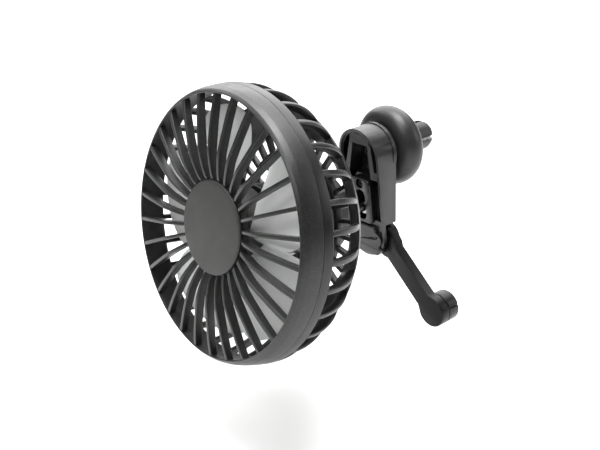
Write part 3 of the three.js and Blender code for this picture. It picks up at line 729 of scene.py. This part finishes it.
def arm():
    o = prism(stadium(11.85, 36.0, 44), -3, 10.9)
    o = add(o, lathe([(0, 9.2), (12.25, 9.2), (12.25, 10.9), (0, 10.9)], 128))
    o = cut(o, slant_cut(0, -20))
    o = cut(o, prism_x([(1.5 + 3.04, -30.4), (30, -30.4), (30, -70), (1.5 + 7.0, -70)], -30, 30))
    # hollow, open at the front, in an upper and a lower part
    up = prism(stadium(11.85 - 1.8, 36.0, 44), -6, 8.9)
    up = boolean(up, box(-30, 30, -10, 30, -29.2, 30), "INTERSECT")
    lo = prism(stadium(11.85 - 1.8, 36.0, 44), -6, 8.8)
    lo = boolean(lo, prism_x([(-10, -29.1), (0.7 + 2.91, -29.1), (0.7 + 7, -70), (-10, -70)], -30, 30), "INTERSECT")
    o = cut(o, up, lo)
    # step just inside the rim
    st = prism(stadium(11.85 - 1.1, 36.0, 44), -6, 30)
    st = boolean(st, slant_cut(0.7, -20), "INTERSECT")
    o = cut(o, st)
    o = add(o, prism([(-6.0, 9.3), (6.0, 9.3), (5.6, 4.9), (-5.6, 4.9)], 0.6, 9.2))
    o = add(o, prism([(-6.0, 6.5), (-4.4, 5.0), (-6.6, -9.5), (-10.4, -9.5), (-10.4, -6.0), (-8.6, -6.0)], 0.9, 9.2))
    o = add(o, prism([(6.0, 6.5), (8.6, -6.0), (10.4, -6.0), (10.4, -9.5), (6.6, -9.5), (4.4, 5.0)], 0.9, 9.2))
    o = add(o, prism(round_rect(-7.2, 7.2, -30.2, -10.2, 1.5), 5.3, 9.2))
    hump = prism(rounded([(-7.0, -32.2), (-8.2, -38.0), (-9.2, -42.0), (-10.5, -42.6), (-7.2, -46.4), (0, -46.9), (7.2, -46.4), (10.5, -42.6), (9.2, -42.0), (8.2, -38.0), (7.0, -32.2)], 1.6, 6), -3, 7)
    hump = cut(hump, slant_cut(-0.9, -20), prism_x([(1.4 + 2, -20), (30, -20), (30, -70), (1.4 + 7, -70)], -30, 30))
    bm = bmesh.new(); bm.from_mesh(hump.data)
    fe = [e for e in bm.edges if all(abs(v.co.y - (-0.9 - SLANT * v.co.z)) < 1e-3 for v in e.verts)]
    bmesh.ops.bevel(bm, geom=fe, offset=0.7, segments=4, affect="EDGES", profile=0.5)
    bm.to_mesh(hump.data); bm.free()
    o = add(o, hump)
    o = add(o, cut(cyl(3.2, 2.6, 6.3, 48, *LEG_PIVOT), slant_cut(-0.9, -20)))
    o = add(o, cyl(5.2, 10.2, 12.2, 72, 0, BALL_H))
    o = cut(o, ball(BALL_R + 1.1, BALL_D, BALL_H), box(-3.4, 3.4, 8.0, 12.0, -3.4, 3.4),
            cyl(1.2, 3.4, 8, 24, *LEG_PIVOT), cyl(1.1, 4, 8.2, 24, 0, -12.9))
    return bevelled(o, "arm_body", MOUNT, 0.22, 3, 32)


dress(arm(), "arm_shell")


def cover():
    o = cut(prism(round_rect(-6.0, 6.0, -31.4, -10.6, 2.4), -2, 5.0), slant_cut(-0.9, -20))
    bm = bmesh.new(); bm.from_mesh(o.data)
    fe = [e for e in bm.edges if all(abs(v.co.y - (-0.9 - SLANT * v.co.z)) < 1e-3 for v in e.verts)]
    bmesh.ops.bevel(bm, geom=fe, offset=0.7, segments=4, affect="EDGES", profile=0.5)
    bm.to_mesh(o.data); bm.free()
    o = cut(o, prism(round_rect(-2.9, 2.9, -29.9, -15.6, 2.8, 14), -3, 6), ball(BALL_R + 0.3, BALL_D, BALL_H))
    o = cut(o, cyl(1.3, -3, 6, 32, 0, -12.9), cyl(2.2, -3, 2.4, 40, 0, -12.9), prism_x([(3.3, -28.9), (7, -28.9), (7, -40), (3.3, -40)], -20, 20))
    return bevelled(o, "slot_cover", MOUNT, 0.30, 3, 34)


dress(cover(), "socket_cover")


# ------------------------------------------------------------------ vent clamp
def collet():
    o = lathe(rounded([(0, 12.3), (6.9, 12.3, 0.1), (6.9, 24.0, 0.8), (6.1, 26.0, 1.2), (6.3, 30.0, 4.0), (6.6, 36.0, 3.0), (6.6, 38.6, 1.4), (5.6, 40.9, 1.6), (3.4, 42.0, 1.4), (0, 42.0)], 0, 6), 128)
    o = add(o, cyl(9.0, 11.2, 12.4, 96), box(-3.0, 3.0, 9.1, 11.3, -3.0, 3.0))
    o = cut(o, cyl(1.15, 8, 26, 32), cyl(2.4, 26.5, 44, 48), box(-0.9, 0.9, 27.5, 44, -9, 9), box(-9, 9, 27.5, 44, -0.9, 0.9))
    return bevelled(o, "vent_prongs", MOUNT, 0.32, 3, 38)


dress(collet(), "clamp_collet")

tube = 6.325
rc, dc = 17.5 - tube, 19.075
prof = [(rc + tube * math.cos(math.radians(-90 + 180 * i / 32)), dc + tube * math.sin(math.radians(-90 + 180 * i / 32)), 0) for i in range(33)]
prof += [(7.6, 25.4, 0.2), (7.2, 24.9, 0.1), (7.2, 15.0, 0.1), (10.0, 15.0, 0.1), (10.0, 12.95, 0.2)]
nut = lathe(rounded(prof, 0, 4), 192)
pip = ball(0.45, 0, 0, 24)
pip.data.transform(Matrix.Rotation(math.radians(-22), 4, "Y") @ Matrix.Translation((0, dc + tube * math.sin(math.radians(56)), rc + tube * math.cos(math.radians(56)))))
nut = cut(nut, pip)
dress(bevelled(nut, "vent_nut", MOUNT, 0.0, sharp=30), "clamp_nut")
dress(bevelled(lathe(rounded([(7.3, 12.9), (9.5, 12.9), (9.5, 14.6), (7.3, 14.6)], 0.25, 3), 96), "thrust_ring", MOUNT, 0.0), "nut_ring")
dress(bevelled(lathe(rounded([(1.4, 7.9), (4.2, 7.9), (4.2, 8.6), (1.4, 8.6)], 0.12, 3), 72), "flat_washer", MOUNT, 0.0), "clamp_washer")


# ------------------------------------------------------------------ leg
def leg():
    hw, boss, foot = 4.2, 7.2, 6.8
    y1 = -math.sqrt(boss ** 2 - hw ** 2) - 1.2
    y2 = -LEG_LEN + math.sqrt(foot ** 2 - hw ** 2) + 1.0
    top = arc(0, 0, boss, -32, 212, 56)
    end = arc(0, -LEG_LEN, foot, 142, 398, 56)
    pts = [*top, (-boss + 1.6, -6.4), (-hw, y1 - 1.4), (-hw, y2), *end, (hw, y2), (hw, y1 - 1.4), (boss - 1.6, -6.4)]
    o = prism(pts, 6.6, 11.1)
    o = cut(o, cyl(1.55, 6, 12, 40), cyl(2.3, 8.6, 12, 48, 0, -LEG_LEN))
    return bevelled(o, "prop_leg", LEG, 0.35, 3, 30)


dress(leg(), "support_leg")


def pad():
    o = lathe(rounded([(0, 9.0), (2.0, 9.0, 0.3), (2.0, 11.4, 0.0), (6.8, 11.4, 0.35), (6.8, 17.3, 0.6), (0, 17.3)], 0, 5), 128)
    o.data.transform(Matrix.Translation((0, 0, -LEG_LEN)))
    n = box(-0.45, 0.45, 11.9, 18.5, -9.0, -6.15)
    n.data.transform(Matrix.Translation((0, 0, -LEG_LEN)) @ Matrix.Rotation(math.radians(-62), 4, "Y"))
    o = cut(o, n)
    return bevelled(o, "foot_cap", LEG, 0.12, 2, 45)


dress(pad(), "foot_pad")
dress(bevelled(lathe(rounded([(1.5, 11.4), (3.9, 11.4), (3.9, 12.0), (1.5, 12.0)], 0.12, 3), 72), "leg_plain_washer", LEG, 0.0), "leg_washer")

# ------------------------------------------------------------------ floor, light, camera
lo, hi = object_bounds()
FLOOR_Z = lo.z - 0.030
bm = bmesh.new()
pts = [(-1.6, 0.0), (1.3, 0.0)] + [(1.3 + 0.5 * math.sin(t * PI / 2 / 12), 0.5 - 0.5 * math.cos(t * PI / 2 / 12)) for t in range(1, 13)] + [(1.8, 2.4)]
rows = [[bm.verts.new((x, y, FLOOR_Z + z)) for x in (-3.2, 3.2)] for y, z in pts]
for a, b in zip(rows, rows[1:]):
    bm.faces.new((a[0], a[1], b[1], b[0]))
me = bpy.data.meshes.new("floor")
bm.to_mesh(me); bm.free()
for p in me.polygons:
    p.use_smooth = True
floor = bpy.data.objects.new("floor", me)
bpy.context.scene.collection.objects.link(floor)
me.materials.append(material("pale_floor", (0.86, 0.86, 0.855), 0.6, mottle=0.01, rough_var=0.03, grain=0.02, grain_scale=900))
floor.rotation_euler = (0, 0, math.radians(43))

world = bpy.data.worlds.new("studio")
bpy.context.scene.world = world
world.use_nodes = True
bg = world.node_tree.nodes["Background"]
bg.inputs["Color"].default_value = (1.0, 1.0, 1.0, 1)
bg.inputs["Strength"].default_value = 0.09

centre = (lo + hi) / 2


def area(name, loc, size, power, target=None, size_y=None, color=(1, 1, 1)):
    d = bpy.data.lights.new(name, "AREA")
    d.energy = power
    d.size = size
    d.color = color
    if size_y:
        d.shape = "RECTANGLE"
        d.size_y = size_y
    o = bpy.data.objects.new(name, d)
    o.location = loc
    o.rotation_euler = ((target or centre) - Vector(loc)).to_track_quat("-Z", "Y").to_euler()
    bpy.context.scene.collection.objects.link(o)
    return o


C = Vector((0.261649, -0.282181, 0.126700))
right = Vector((0.647041, 0.761439, -0.039358)).normalized()
back = Vector((0.707994, -0.580863, 0.401676)).normalized()
up = back.cross(right).normalized()
right = up.cross(back).normalized()

area("key_top", tuple(centre + Vector((0.02, -0.02, 0.70))), 0.45, 8.0)
area("front_soft", tuple(centre - right * 0.30 + up * 0.45 + back * 0.75), 0.5, 3.4)
area("right_soft", tuple(centre + right * 0.80 + up * 0.30 + back * 0.15), 0.35, 1.0)
fl = area("floor_light", tuple(centre - back * 1.1 + Vector((0, 0, 1.1))), 1.6, 30.0, target=centre - back * 0.9 + Vector((0, 0, -0.2)))

cam_data = bpy.data.cameras.new("camera")
cam_data.sensor_fit = "HORIZONTAL"
cam_data.sensor_width = 36.0
cam_data.lens = 895.34 / 600 * 36.0
cam_data.clip_start = 0.01
cam_data.clip_end = 20
cam = bpy.data.objects.new("camera", cam_data)
cam.matrix_world = Matrix(((right.x, up.x, back.x, C.x), (right.y, up.y, back.y, C.y), (right.z, up.z, back.z, C.z), (0, 0, 0, 1)))
bpy.context.scene.collection.objects.link(cam)
bpy.context.scene.camera = cam
bpy.context.scene.view_settings.view_transform = "Standard"
